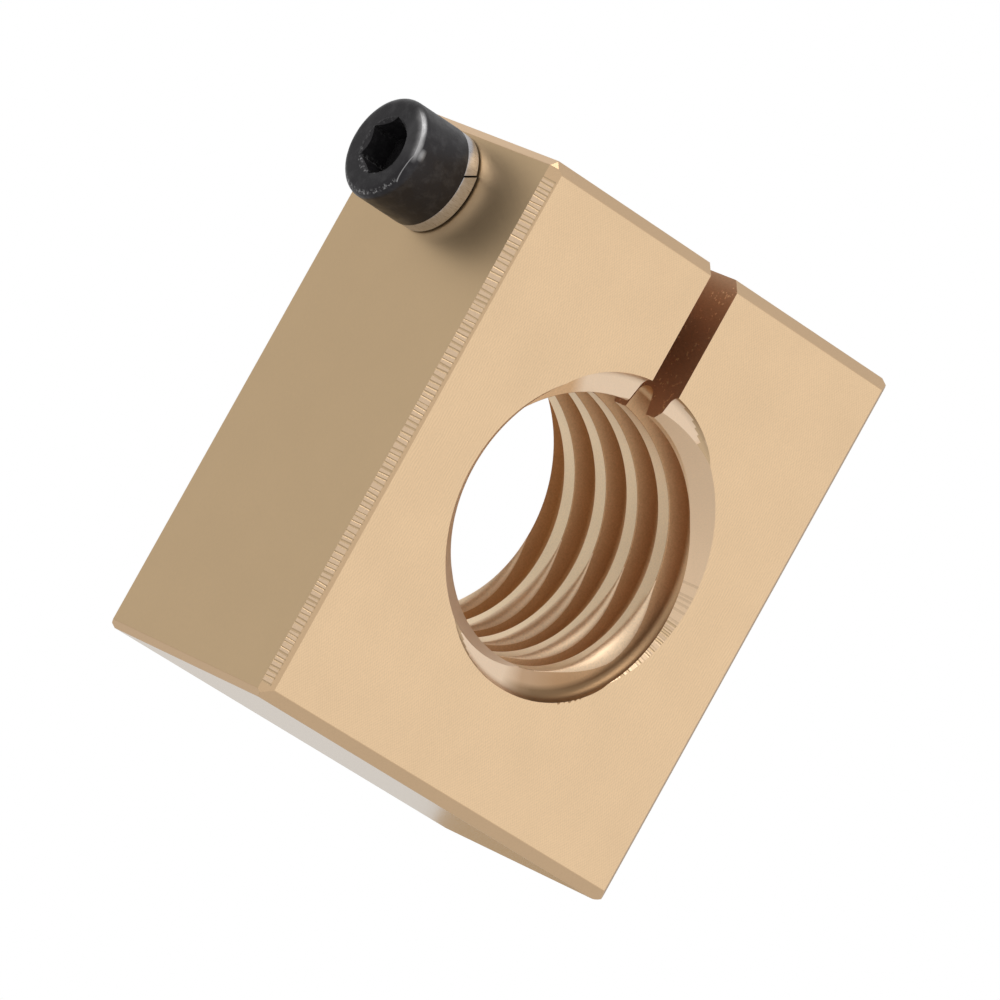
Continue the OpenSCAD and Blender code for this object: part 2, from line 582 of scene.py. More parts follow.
# %% [markdown]
# ## The lead thread
#
# The nut's thread has two starts and is left-handed. Its grooves have sloping
# flanks and rounded roots. The whole bore, grooves and all, is made as one solid
# plug, and the plug is then cut out of the block. A plug is easier than cutting
# the grooves one by one, and the run-outs at the mouths come out by themselves.

# %% Thread plug
turn_steps = 120
groove_half = (thread_pitch - crest_land) / 2
root_half = groove_half - thread_depth * math.tan(flank_slope)
fillet_reach = min(0.8 * MM, root_half * 0.94)
thread_turn = 95
turns = math.ceil((block_high.y - block_low.y) / thread_lead) + 2
groove_at_face = block_low.y - thread_turn / 360 * thread_lead
start_y = groove_at_face - thread_pitch / 2 - thread_lead

places = [(crest_radius, start_y, bore_axis.z)]
for start in range(thread_starts):
    middle = start_y + thread_pitch * (start + 0.5)
    for offset, height in (
        (-groove_half, 0),
        (-root_half, thread_depth),
        (root_half, thread_depth),
        (groove_half, 0),
    ):
        places.append((crest_radius + height, middle + offset, bore_axis.z))
places.append((crest_radius, start_y + thread_lead, bore_axis.z))

plug_mesh = bmesh.new()
chain = join_points(plug_mesh, places)
roots = [v for v in chain if v.co.x > crest_radius + thread_depth / 2]
round_corners(plug_mesh, roots, fillet_reach, 7)
crest_edges = [
    v for v in plug_mesh.verts
    if abs(v.co.x - crest_radius) < 1e-7 and len(v.link_edges) == 2
]
edge_reach = 0.07 * MM
round_corners(plug_mesh, crest_edges, edge_reach, 4)

# %% [markdown]
# The load of the screw has rolled over the crests' front edges, most at the lower
# right and most on the first crest. Before the spin, each point of an edge's
# rounding writes down how far it lies from the sharp corner, once along the crest
# and once down the flank. The spin copies both to every turn.

# %% Mark the crests' front edges
flank_lean = math.tan(flank_slope)
along_crest = plug_mesh.verts.layers.float.new("along_crest")
outward = plug_mesh.verts.layers.float.new("outward")
for start in range(thread_starts):
    corner_y = start_y + thread_pitch * (start + 0.5) + groove_half
    for vert in plug_mesh.verts:
        offset = vert.co - Vector((crest_radius, corner_y, bore_axis.z))
        if offset.length < edge_reach * 1.05:
            vert[along_crest] = offset.y + offset.x * flank_lean
            vert[outward] = offset.x
spin_thread(
    plug_mesh, bore_axis, (0, -1, 0), Vector((0, thread_lead, 0)), turns, turn_steps
)
print("plug is spun to", len(plug_mesh.verts), "points")

# %% [markdown]
# After the spin, both offsets are stretched where the edge is worn. The wear is
# strongest at one angle round the bore and fades out to both sides. It starts
# behind the front mouth and comes in over a millimetre, so that the mouth's own
# edge stays crisp.

# %% Worn crest edges
worn_middle = -34
worn_half = 36
wear_from = 2 * MM
first_crest_until = 6 * MM
crest_wear = 0.8 * MM
flank_wear = 0.8 * MM
first_flank_wear = 1.3 * MM

worn_points = 0
for vert in plug_mesh.verts:
    spoke = Vector((vert.co.x, 0, vert.co.z - bore_axis.z))
    angle = math.degrees(math.atan2(spoke.z, spoke.x))
    wear = max(0, 1 - ((angle - worn_middle) / worn_half) ** 2) ** 1.5
    wear *= min(1, max(0, (vert.co.y - block_low.y - wear_from) / MM))
    on_first_crest = vert.co.y < block_low.y + first_crest_until
    crest_stretch = wear * crest_wear / edge_reach
    flank_stretch = wear * (first_flank_wear if on_first_crest else flank_wear) / edge_reach
    if vert[along_crest] or vert[outward]:
        slide = vert[along_crest] * crest_stretch - vert[outward] * flank_stretch * flank_lean
        vert.co.y += slide
        vert.co += spoke.normalized() * vert[outward] * flank_stretch
        worn_points += wear > 0
print("worn points", worn_points)

# %% Cut the bore
plug_over = 1.5 * MM
mill_flat(plug_mesh, (0, block_low.y - plug_over, 0), (0, -1, 0))
mill_flat(plug_mesh, (0, block_high.y + plug_over, 0), (0, 1, 0))
bmesh.ops.recalc_face_normals(plug_mesh, faces=plug_mesh.faces)
print("plug", len(plug_mesh.faces), "faces, open edges", count_open_edges(plug_mesh))
boolean(nut, finish_mesh(plug_mesh, "thread_plug"))

# %% [markdown]
# ## The mouths
#
# Each mouth of the bore is opened by a 45 degree chamfer. The front one was cut
# slightly off centre, and the tool chattered on its lower right. The cutter is a
# cone whose two rings are pushed outwards together at some of their points, so
# that the chatter grooves run along the slope. Plain steps of several lengths lie
# between the grooves, because a regular ripple would look like a gear.

# %% Mouth chamfers
mouth_width = 1.8 * MM
rim_radius = crest_radius + mouth_width
ripple = random.Random(11)
ripple_middle = -30
ripple_half = 48
faintest_ripple = 0.05


def groove_depths(count):
    depths = []
    while len(depths) < count:
        depths += [0] * ripple.choice((1, 1, 1, 2, 2, 4))
        depths += [ripple.uniform(0.2, 1) ** 1.5]
    return depths[:count]


def mouth_cutter(face_y, inward, off_centre, groove_depth):
    outside = 1 * MM
    inside = mouth_width + 0.6 * MM
    near = rim_radius + outside
    far = rim_radius - inside
    segments = 720
    place = Vector((off_centre, face_y - inward * outside, bore_axis.z))
    axis = (0, inward, 0)
    bm = round_solid(place, axis, near, far, outside + inside, segments)
    depths = groove_depths(segments)
    for vert in bm.verts:
        radial = Vector((vert.co.x - off_centre, 0, vert.co.z - bore_axis.z))
        angle = math.degrees(math.atan2(radial.z, radial.x))
        strength = max(faintest_ripple, 1 - abs(angle - ripple_middle) / ripple_half)
        step = round(angle / 360 * segments) % segments
        vert.co += radial.normalized() * groove_depth * strength * depths[step]
    return finish_mesh(bm, "mouth_cutter")


boolean(nut, mouth_cutter(block_low.y, 1, -0.2 * MM, 0.06 * MM))
boolean(nut, mouth_cutter(block_high.y, -1, 0, 0.012 * MM))

# %% [markdown]
# The casting left a small pit above the front mouth, and the cutter tore small
# nicks out of its lower edge, where a groove of the thread runs out through it.
# Each is a small ball cut out of the front face, given by its angle round the
# bore, its distance from the bore's axis and its size. The groove's edge leaves
# the mouth's round rim further down, so the nicks move outwards with it.

# %% Pit and nicks
pit = (119.6, rim_radius + 0.43 * MM, 0.16 * MM)
nicks_from = -64
nicks_until = -53
run_out_angle = -46
run_out_there = 0.25
run_out_per_degree = 0.019

nicks = [pit]
nick_angle = nicks_from
while nick_angle < nicks_until:
    size = ripple.uniform(0.1, 0.22) * MM
    below = nick_angle - run_out_angle
    run_out = (run_out_there - run_out_per_degree * below) * MM
    nicks.append((nick_angle, rim_radius + run_out, size))
    nick_angle += ripple.uniform(1.8, 2.6)
nick_mesh = bmesh.new()
for angle, distance, size in nicks:
    turn = math.radians(angle)
    nick = bore_axis + Vector((math.cos(turn), 0, math.sin(turn))) * distance
    nick.y = block_low.y
    bmesh.ops.create_icosphere(
        nick_mesh, subdivisions=1, radius=size, matrix=Matrix.Translation(nick)
    )
boolean(nut, finish_mesh(nick_mesh, "nicks"))
print("nicks", len(nicks))

# %% [markdown]
# ## The slit and the screw's holes
#
# A slitting saw opens the block from the top into the bore. A clearance hole
# crosses the left half, and a blind hole in the right half is tapped. Both stay
# plain inside, because the tapped hole's own thread hardly ever shows.

# %% Slit and holes
over = 1 * MM
slit_low = Vector((-slit_width / 2, block_low.y - over, bore_axis.z))
slit_high = Vector((slit_width / 2, block_high.y + over, block_high.z + over))
boolean(nut, finish_mesh(block_solid(slit_low, slit_high), "slit_saw"))

clearance_radius = shank_radius + 0.3 * MM
tapped_radius = shank_radius + 0.05 * MM
hole_start = screw_axis + Vector((block_low.x - over, 0, 0))
drill = round_solid(
    hole_start, (1, 0, 0), clearance_radius, clearance_radius, -hole_start.x
)
boolean(nut, finish_mesh(drill, "clearance_drill"))
tap_length = screw_high.x + 2 * MM
tap = round_solid(screw_axis, (1, 0, 0), tapped_radius, tapped_radius, tap_length)
boolean(nut, finish_mesh(tap, "tapping_drill"))

# %% [markdown]
# ## The cap screw
#
# A socket head cap screw is upset from wire, its hexagon is punched, and its
# thread is rolled on. The head and shank are one outline spun round the screw's
# axis, with the rim's corner rounded first. Where the thread comes, the shank is
# turned down to the thread's core.

# %% Cap screw
head_radius = 5 * MM
rim_rounding = 0.95 * MM
core_radius = shank_radius - 0.6 * MM
head_face_x = screw_low.x
head_seat_x = washer_low.x
tip_x = screw_high.x
core_end_x = tip_x - 0.3 * MM
thread_start_x = tip_x - 24 * MM

screw_profile = (
    (head_face_x, 0),
    (head_face_x, head_radius),
    (head_seat_x, head_radius),
    (head_seat_x, shank_radius),
    (thread_start_x + 0.4 * MM, shank_radius),
    (thread_start_x + 0.8 * MM, core_radius),
    (core_end_x, core_radius),
    (core_end_x, 0),
)
screw_mesh = bmesh.new()
screw_chain = join_points(
    screw_mesh, [(x, screw_axis.y, screw_axis.z + radius) for x, radius in screw_profile]
)
round_corners(screw_mesh, [screw_chain[1]], rim_rounding, 8)
bmesh.ops.spin(
    screw_mesh,
    geom=screw_mesh.verts[:] + screw_mesh.edges[:],
    cent=screw_axis,
    axis=(1, 0, 0),
    angle=math.tau,
    steps=96,
    use_merge=True,
)
bmesh.ops.remove_doubles(screw_mesh, verts=screw_mesh.verts, dist=0.001 * MM)
bmesh.ops.recalc_face_normals(screw_mesh, faces=screw_mesh.faces)
print("screw open edges", count_open_edges(screw_mesh))
screw_piece = finish_mesh(screw_mesh, "cap_screw")

# %% [markdown]
# The screw's thread is spun like the lead thread, but right-handed. Its outline is
# one pitch long: a narrow crest, a slope down, the root, and a slope up again. The
# tip is pointed by keeping only what lies inside a cone, and then the rod is joined
# to the shank. It shows only when the screw is backed out.

# %% Rolled thread
metric_pitch = 1 * MM
rod_crest = shank_radius - 0.01 * MM
rod_root = shank_radius - 0.61 * MM
rod_start = thread_start_x - 2 * metric_pitch
rod_outline = (
    (0, rod_crest),
    (0.06 * MM, rod_crest),
    (0.41 * MM, rod_root),
    (0.66 * MM, rod_root),
    (metric_pitch, rod_crest),
)
rod_mesh = bmesh.new()
join_points(
    rod_mesh,
    [(rod_start + x, screw_axis.y, screw_axis.z + radius) for x, radius in rod_outline],
)
rod_turns = math.ceil((tip_x - rod_start) / metric_pitch) + 2
spin_thread(
    rod_mesh, screw_axis, (1, 0, 0), Vector((metric_pitch, 0, 0)), rod_turns, 32
)
mill_flat(rod_mesh, (thread_start_x, 0, 0), (-1, 0, 0))
mill_flat(rod_mesh, (tip_x, 0, 0), (1, 0, 0))
bmesh.ops.recalc_face_normals(rod_mesh, faces=rod_mesh.faces)
print("rod", len(rod_mesh.faces), "faces, open edges", count_open_edges(rod_mesh))
rod = finish_mesh(rod_mesh, "rolled_thread")
tip_radius = shank_radius - 0.8 * MM
cone_length = 30 * MM
cone_start = screw_axis + Vector((tip_x - cone_length, 0, 0))
tip_cone = round_solid(
    cone_start, (1, 0, 0), tip_radius + cone_length, tip_radius, cone_length
)
boolean(rod, finish_mesh(tip_cone, "tip_cone"), "INTERSECT")
boolean(screw_piece, rod, "UNION")

# %% [markdown]
# The punch is a six-sided bar. It is turned to the angle of the real socket, and
# moved a little, because a punched socket is never quite in the middle. A short
# cone then opens the socket's mouth, so that the key finds its way in.

# %% Hexagon socket
socket_size = 5 * MM
socket_depth = 3 * MM
socket_turn = math.radians(28)
socket_shift = Vector((0, -0.22 * MM, 0.05 * MM))
corner_radius = socket_size / math.sqrt(3)
hexagon = round_solid(
    Vector((head_face_x - over, screw_axis.y, screw_axis.z)),
    (1, 0, 0),
    corner_radius,
    corner_radius,
    socket_depth + over,
    6,
)
hexagon.verts.ensure_lookup_table()
first_corner = hexagon.verts[0].co - screw_axis
corner_angle = math.atan2(first_corner.z, first_corner.y)
turn_by = socket_turn - corner_angle
bmesh.ops.rotate(
    hexagon, verts=hexagon.verts, cent=screw_axis, matrix=Matrix.Rotation(turn_by, 3, "X")
)
bmesh.ops.translate(hexagon, verts=hexagon.verts, vec=socket_shift)
boolean(screw_piece, finish_mesh(hexagon, "hexagon_punch"))
countersink = round_solid(
    Vector((head_face_x - 0.1 * MM, screw_axis.y, screw_axis.z)) + socket_shift,
    (1, 0, 0),
    socket_size / 2 + 0.42 * MM,
    socket_size / 2 - 0.18 * MM,
    0.6 * MM,
)
boolean(screw_piece, finish_mesh(countersink, "countersink"))

# %% [markdown]
# ## The lock washer
#
# A spring lock washer is a turn of square wire, hardened, with a slanting split
# whose ends bite. Its section starts at the split and is spun for nearly a turn.

# %% Lock washer
washer_inner = 3.05 * MM
washer_outer = 4.95 * MM
split_turn = math.radians(163)
split_width = 0.2 * MM
gap = split_width / washer_outer


def wire_place(x, radius):
    side = Vector((0, math.cos(split_turn), math.sin(split_turn)))
    return Vector((x, screw_axis.y, screw_axis.z)) + side * radius


washer_mesh = bmesh.new()
section = [
    washer_mesh.verts.new(wire_place(x, radius))
    for x, radius in (
        (washer_low.x, washer_inner),
        (washer_low.x, washer_outer),
        (washer_high.x - 0.2 * MM, washer_outer),
        (washer_high.x, washer_outer - 0.25 * MM),
        (washer_high.x, washer_inner),
    )
]
washer_mesh.faces.new(section)
round_corners(washer_mesh, section, 0.08 * MM, 3)
bmesh.ops.rotate(
    washer_mesh,
    verts=washer_mesh.verts,
    cent=screw_axis,
    matrix=Matrix.Rotation(gap / 2, 3, "X"),
)
bmesh.ops.spin(
    washer_mesh,
    geom=washer_mesh.faces[:],
    cent=screw_axis,
    axis=(1, 0, 0),
    angle=math.tau - gap,
    steps=96,
    use_merge=False,
)
bmesh.ops.remove_doubles(washer_mesh, verts=washer_mesh.verts, dist=0.001 * MM)
print("washer is spun to", len(washer_mesh.verts), "points")

# %% [markdown]
# Each point is turned a little more the nearer it is to the head, which slants
# both ends. One end is drawn outwards by a tenth of a millimetre or so, and the
# step dies away round the wire, as it does on a washer that was cut from a coil.

# %% The washer's ends
split_lean = math.radians(26)
end_proud = 0.14 * MM
proud_turn = 0.7
middle_x = (washer_low.x + washer_high.x) / 2
for vert in washer_mesh.verts:
    radial = Vector((0, vert.co.y - screw_axis.y, vert.co.z - screw_axis.z))
    angle = (math.atan2(radial.z, radial.y) - split_turn) % math.tau
    proud = end_proud * max(0, 1 - angle / proud_turn) ** 2
    lean_by = math.tan(split_lean) * (middle_x - vert.co.x) / washer_outer
    stretched = radial.normalized() * (radial.length + proud)
    turned = Matrix.Rotation(lean_by, 3, "X") @ stretched
    vert.co = Vector((vert.co.x, screw_axis.y, screw_axis.z)) + turned
bmesh.ops.recalc_face_normals(washer_mesh, faces=washer_mesh.faces)
print("washer open edges", count_open_edges(washer_mesh))
washer = finish_mesh(washer_mesh, "spring_washer")

# %% [markdown]
# ## Finishes
#
# A finish starts as a Principled shader. Noise makes its grain and its clouds, a
# bump node turns the grain into fine relief, and masks say where a finish is worn,
# and where painted light and painted shade are laid on. Every pattern reads Object
# coordinates, so it stays on the piece when the piece moves.

# %% Finish and grain
def new_finish(name, colour, metallic, roughness):
    material = bpy.data.materials.new(name)
    material.use_nodes = True
    tree = material.node_tree
    shader = next(n for n in tree.nodes if n.type == "BSDF_PRINCIPLED")
    shader.inputs["Base Color"].default_value = (*colour, 1)
    shader.inputs["Metallic"].default_value = metallic
    shader.inputs["Roughness"].default_value = roughness
    return material, tree, shader


def object_place(tree):
    return add_node(tree, "ShaderNodeTexCoord").outputs["Object"]


def noise(tree, place, size, stretch=(1, 1, 1), detail=3.0, rough=0.55):
    scaled = add_node(tree, "ShaderNodeMapping", {0: place})
    scaled.inputs["Scale"].default_value = stretch
    return add_node(tree, "ShaderNodeTexNoise", {
        "Vector": scaled.outputs[0],
        "Scale": 1 / size,
        "Detail": detail,
        "Roughness": rough,
    }).outputs[0]


def spread(tree, value, low, high, to_low, to_high):
    return add_node(tree, "ShaderNodeMapRange", {
        "Value": value,
        "From Min": low,
        "From Max": high,
        "To Min": to_low,
        "To Max": to_high,
    }).outputs["Result"]


def tint(tree, colour, amount):
    inputs = {0: colour, "Scale": amount}
    return add_node(tree, "ShaderNodeVectorMath", inputs, operation="SCALE").outputs[0]


def mix_colours(tree, share, first, second):
    inputs = {0: share, 6: first, 7: second}
    return add_node(tree, "ShaderNodeMix", inputs, data_type="RGBA").outputs[2]


def add_bump(tree, shader, height, depth):
    bump = add_node(tree, "ShaderNodeBump", {
        "Height": height,
        "Strength": 1.0,
        "Distance": depth,
    })
    tree.links.new(bump.outputs[0], shader.inputs["Normal"])


# %% [markdown]
# A face mill leaves arcs: `feed_marks` gives the lines of one pass, as bows of the
# cutter's radius that wander a little. `band` is a mask round one value with soft
# edges, and `both` keeps only where all its masks agree. Two more helpers tell
# where a point lies in the bore, by its angle and by its distance from the axis.

# %% Marks and masks
def feed_marks(tree, along, across, wander, radius, feed, side):
    across = math_node(tree, "SUBTRACT", across, bore_axis.z)
    squared = math_node(tree, "MULTIPLY", across, across)
    inside = math_node(tree, "SUBTRACT", radius * radius, squared)
    bow = math_node(tree, "SQRT", math_node(tree, "MAXIMUM", inside, 0))
    travel = math_node(tree, "MULTIPLY_ADD", bow, side, along)
    travel = math_node(tree, "MULTIPLY_ADD", wander, 0.5 * MM, travel)
    return math_node(tree, "SINE", math_node(tree, "MULTIPLY", travel, math.tau / feed))


def band(tree, value, middle, half, soft):
    off_middle = math_node(tree, "ABSOLUTE", math_node(tree, "SUBTRACT", value, middle))
    return spread(tree, off_middle, half, half + soft, 1, 0)


def both(tree, *masks):
    result = masks[0]
    for mask in masks[1:]:
        result = math_node(tree, "MULTIPLY", result, mask)
    return result


def bore_angle(tree, axes):
    up = math_node(tree, "SUBTRACT", axes["Z"], bore_axis.z)
    turned = math_node(tree, "ARCTAN2", up, axes["X"])
    return math_node(tree, "MULTIPLY", turned, 180 / math.pi)


def bore_distance(tree, axes):
    up = math_node(tree, "SUBTRACT", axes["Z"], bore_axis.z)
    squared = math_node(tree, "MULTIPLY", up, up)
    squared = math_node(tree, "MULTIPLY_ADD", axes["X"], axes["X"], squared)
    return math_node(tree, "SQRT", squared)


# %% [markdown]
# ## Bronze
#
# One bronze, cut in several ways. Each cut has its own material on the nut: milled
# faces with arcs left by the face mill, ground sides, chamfers, the thread's
# crests and grooves, and the sawn slit. Only the colour, the grain and the gloss
# differ, so one function makes them all. The grooves are darker than the crests by
# painted shade, and the torn and scored faces are real chatter marks made darker by
# painted shade. Near the front mouth some finishes get patches of painted light and
# painted shade: pale patches are painted light, brown and dark ones painted shade.
# A patch has the middle and the half width of its angle, its soft edge, its
# strength, its colour, and the distance from the axis where it starts.

# %% Bronze
cloud_size = 6 * MM
wander_size = 1.6 * MM
mark_height = 0.13
painted_full_until = 2 * MM
painted_gone_from = 4 * MM


def bronze_finish(
    name, colour, roughness, grain, stretch, depth, cloudy, speckled,
    marks=(), flecks=None, painted_light_and_shade=(),
):
    material, tree, shader = new_finish(name, colour, 1.0, roughness)
    place = object_place(tree)
    fine = noise(tree, place, grain, stretch)
    cloud = noise(tree, place, cloud_size, detail=2.0)
    axes = add_node(tree, "ShaderNodeSeparateXYZ", {0: place}).outputs
    wander = noise(tree, place, wander_size) if marks else None
    height = fine
    for mark in marks:
        line = feed_marks(tree, axes["X"], axes["Z"], wander, *mark)
        height = math_node(tree, "MULTIPLY_ADD", line, mark_height, height)
    patches = spread(tree, cloud, 0.3, 0.7, 1 - cloudy, 1 + cloudy)
    specks = spread(tree, height, 0.25, 0.75, 1 - speckled, 1 + speckled)
    amount = math_node(tree, "MULTIPLY", patches, specks)
    if flecks:
        size, cut, gain = flecks
        chips = spread(tree, noise(tree, place, size, detail=4.0), cut, cut + 0.05, 0, gain)
        amount = math_node(tree, "ADD", amount, chips)
    tone = tint(tree, colour, amount)
    # Pale patches mix in painted light, dark ones painted shade.
    for middle, half, soft, share, patch_colour, starts_at in painted_light_and_shade:
        distance = bore_distance(tree, axes)
        far_enough = spread(tree, distance, starts_at, starts_at + 0.5 * MM, 0, 1)
        near_front = spread(
            tree, axes["Y"], block_low.y + painted_full_until, block_low.y + painted_gone_from, share, 0
        )
        around = band(tree, bore_angle(tree, axes), middle, half, soft)
        patch = both(tree, around, near_front, far_enough)
        tone = mix_colours(tree, patch, tone, (*patch_colour, 1))
    tree.links.new(tone, shader.inputs["Base Color"])
    gloss = spread(tree, fine, 0.3, 0.7, roughness * 0.9, roughness * 1.12)
    tree.links.new(gloss, shader.inputs["Roughness"])
    add_bump(tree, shader, height, depth)
    return material


# %% Bronze, cut in twelve ways
# Pale is painted light; brown and the root's dark colour are painted shade.
PAINTED_PALE_LIGHT = (1.0, 0.83, 0.65)
PAINTED_BROWN_SHADE = (0.5, 0.3, 0.16)
PAINTED_ROOT_SHADE = (0.25, 0.155, 0.08)
EVEN = (1, 1, 1)
milled = bronze_finish(
    "bronze_milled", (0.8, 0.575, 0.355), 0.36, 0.14 * MM, EVEN, 0.006 * MM, 0.02, 0.06,
    marks=((40 * MM, 0.27 * MM, 1), (40 * MM, 0.31 * MM, -1)),
)
ground = bronze_finish(
    "bronze_ground", (0.755, 0.545, 0.32), 0.38, 0.1 * MM, (1, 1, 0.2), 0.0015 * MM, 0.01, 0.03
)
polished = bronze_finish(
    "bronze_base", (0.76, 0.56, 0.33), 0.14, 0.1 * MM, (0.2, 1, 1), 0.0002 * MM, 0.01, 0.015
)
chamfered = bronze_finish(
    "bronze_chamfer", (0.72, 0.5, 0.3), 0.33, 0.12 * MM, EVEN, 0.004 * MM, 0.01, 0.05
)
chattered = bronze_finish(
    "bronze_chatter", (0.8, 0.59, 0.4), 0.42, 0.12 * MM, EVEN, 0.004 * MM, 0.01, 0.08
)
# Torn and scored are darker bronze: real chatter marks and nicks, with painted shade on their
# walls.
torn_and_shaded = bronze_finish(
    "bronze_torn_and_shaded", (0.6, 0.43, 0.26), 0.45, 0.12 * MM, EVEN, 0.004 * MM, 0.01, 0.08
)
scored_and_shaded = bronze_finish(
    "bronze_scored_and_shaded", (0.74, 0.54, 0.355), 0.43, 0.12 * MM, EVEN, 0.004 * MM, 0.01, 0.08
)
rolled = bronze_finish(
    "bronze_rolled", (0.92, 0.7, 0.48), 0.48, 0.2 * MM, EVEN, 0.02 * MM, 0.04, 0.12
)
crests = bronze_finish(
    "bronze_crest", (0.955, 0.745, 0.5), 0.42, 0.16 * MM, EVEN, 0.004 * MM, 0.03, 0.08
)
# The grooves and the screw holes are darker than the crests of the same bronze: painted shade
# for their depth.
grooves = bronze_finish(
    "bronze_groove", (0.67, 0.425, 0.235), 0.42, 0.18 * MM, EVEN, 0.012 * MM, 0.03, 0.12,
    painted_light_and_shade=(
        (-104, 30, 14, 0.65, PAINTED_PALE_LIGHT, 0),
        (92, 27, 6, 0.6, PAINTED_PALE_LIGHT, 0),
        (-66, 12, 10, 0.75, PAINTED_BROWN_SHADE, 0),
        (-40, 32, 16, 0.9, PAINTED_ROOT_SHADE, crest_radius + 1.2 * MM),
    ),
)
mouths = bronze_finish(
    "bronze_mouth", (0.86, 0.63, 0.42), 0.4, 0.12 * MM, EVEN, 0.004 * MM, 0.01, 0.05,
    painted_light_and_shade=((-110, 30, 15, 0.75, PAINTED_PALE_LIGHT, 0),),
)
sawn = bronze_finish(
    "bronze_sawn", (0.66, 0.4, 0.235), 0.42, 0.12 * MM, (1, 0.3, 1), 0.01 * MM, 0.08, 0.1,
    flecks=(0.5 * MM, 0.63, 0.9),
)
FINISHES = [
    milled, ground, polished, chamfered, chattered, torn_and_shaded, scored_and_shaded,
    crests, rolled, grooves, mouths, sawn,
]
print("bronze finishes", [finish.name for finish in FINISHES])

# %% [markdown]
# Each face of the nut is sorted by where it lies and which way it looks, and
# gets the finish of the machine that cut it. In the bore, a face of a mouth lies
# on the mouth's cone and slopes like it. Where chatter turned it sideways, it
# swerves from the cone, and it is scored, or torn if it swerves a lot. Both are
# darker: real chatter marks with painted shade laid on their walls.

# %% Sort the bore's faces
bore_reach = crest_radius + thread_depth + 0.1 * MM
cone_slope = math.sqrt(0.5)
cone_room = 0.35 * MM
scored_from = 0.06
torn_from = 0.2
rolled_reach = crest_radius + 1.4 * MM
rolled_from = -76
rolled_until = 4


def mouth_finish(normal, spoke):
    swerve = normal.cross(Vector((0, 1, 0))).normalized().dot(spoke.normalized())
    if abs(swerve) > torn_from:
        return torn_and_shaded
    if abs(swerve) > scored_from:
        return scored_and_shaded
    return mouths


def bore_finish(centre, normal, spoke):
    slopes = abs(abs(normal.y) - cone_slope) < 0.06
    inside = min(centre.y - block_low.y, block_high.y - centre.y)
    off_cone = spoke.length + inside - rim_radius
    if slopes and abs(off_cone) < cone_room and normal.dot(spoke) < 0:
        return mouth_finish(normal, spoke)
    if abs(spoke.length - crest_radius) < 0.04 * MM and abs(normal.y) < 0.1:
        return crests
    # A nick gets the darker torn finish: painted shade in the small bite.
    in_nick = centre.y < block_low.y + 0.3 * MM and spoke.length > rim_radius - 0.4 * MM
    if in_nick:
        return torn_and_shaded
    angle = math.degrees(math.atan2(spoke.z, spoke.x))
    looks_forward = -0.93 < normal.y < -0.1
    if spoke.length < rolled_reach and looks_forward:
        if rolled_from < angle < rolled_until and centre.y > block_low.y + wear_from:
            return rolled
    return grooves


print("bore faces lie within", round(bore_reach / MM, 2), "mm of the axis")

# %% Sort the nut's faces
at_face = 0.02 * MM
hole_reach = 3.4 * MM
plain_below_top = 1.8 * MM


def in_screw_hole(centre, normal, spoke):
    from_screw = Vector((0, centre.y - screw_axis.y, centre.z - screw_axis.z))
    near_hole = from_screw.length < hole_reach and abs(centre.x) < block_high.x - 1 * MM
    return near_hole and (abs(normal.x) < 0.2 or spoke.length > bore_reach)


def finish_for(centre, normal):
    spoke = Vector((centre.x, 0, centre.z - bore_axis.z))
    at_front = abs(centre.y - block_low.y) < at_face
    at_back = abs(centre.y - block_high.y) < at_face
    if (at_front or at_back) and abs(normal.y) > 0.98:
        return milled
    at_slit = abs(abs(centre.x) - slit_width / 2) < at_face and abs(normal.x) > 0.98
    if at_slit and centre.z > bore_axis.z:
        return sawn
    if in_screw_hole(centre, normal, spoke):
        return grooves
    if spoke.length < bore_reach:
        return bore_finish(centre, normal, spoke)
    if normal.z < -0.99:
        return polished
    in_chatter = chatter_above_base < centre.z < block_high.z - plain_below_top
    if in_chatter and normal.dot(chamfer_way) > 0.75:
        # The walls of the chatter grooves get the darker torn finish: painted shade.
        if abs(normal.z) > 0.05:
            return torn_and_shaded
        if chatter_share(centre) < chatter_reach(centre.z):
            return chattered
    if max(abs(normal.x), abs(normal.z)) > 0.99:
        return ground
    # The small corner facet at the top also gets the darker torn finish: painted shade that
    # tones down its highlight.
    if normal.z > 0.4 and abs(normal.x) > 0.4 and abs(normal.y) > 0.4:
        return torn_and_shaded
    return chamfered


nut.data.materials.clear()
for finish in FINISHES:
    nut.data.materials.append(finish)
tally = {}
for polygon in nut.data.polygons:
    finish = finish_for(polygon.center, polygon.normal)
    polygon.material_index = FINISHES.index(finish)
    tally[finish.name] = tally.get(finish.name, 0) + 1
print("faces by finish", tally)

# %% [markdown]
# Turned and milled faces shade smoothly, and edges stay sharp where two faces
# meet at more than about 30 degrees. The Weighted Normal modifier lets the large
# faces win over the thin roundings beside them, so flats stay flat. The chamfers,
# the mouths and the ridges left by chatter are narrow, so they keep a flat shading
# of their own.

# %% Smooth shading between sharp edges
def apply_modifiers(piece):
    bpy.context.view_layer.update()
    graph = bpy.context.evaluated_depsgraph_get()
    old_mesh = piece.data
    name = old_mesh.name
    piece.data = bpy.data.meshes.new_from_object(
        piece.evaluated_get(graph), preserve_all_data_layers=True, depsgraph=graph
    )
    piece.modifiers.clear()
    bpy.data.meshes.remove(old_mesh)
    piece.data.name = name


def smooth_piece(piece, sharp_degrees, flat=()):
    mesh = piece.data
    mesh.shade_smooth()
    mesh.set_sharp_from_angle(angle=math.radians(sharp_degrees))
    for polygon in mesh.polygons:
        if polygon.material_index in flat:
            polygon.use_smooth = False
    weigh = piece.modifiers.new("weigh_normals", "WEIGHTED_NORMAL")
    weigh.mode = "FACE_AREA"
    weigh.keep_sharp = True
    apply_modifiers(piece)


flat_finishes = [
    FINISHES.index(finish) for finish in (chamfered, chattered, torn_and_shaded, scored_and_shaded, mouths)
]
smooth_piece(nut, 28, flat_finishes)
smooth_piece(screw_piece, 30)
smooth_piece(washer, 30)
print("flat finishes", [FINISHES[index].name for index in flat_finishes])
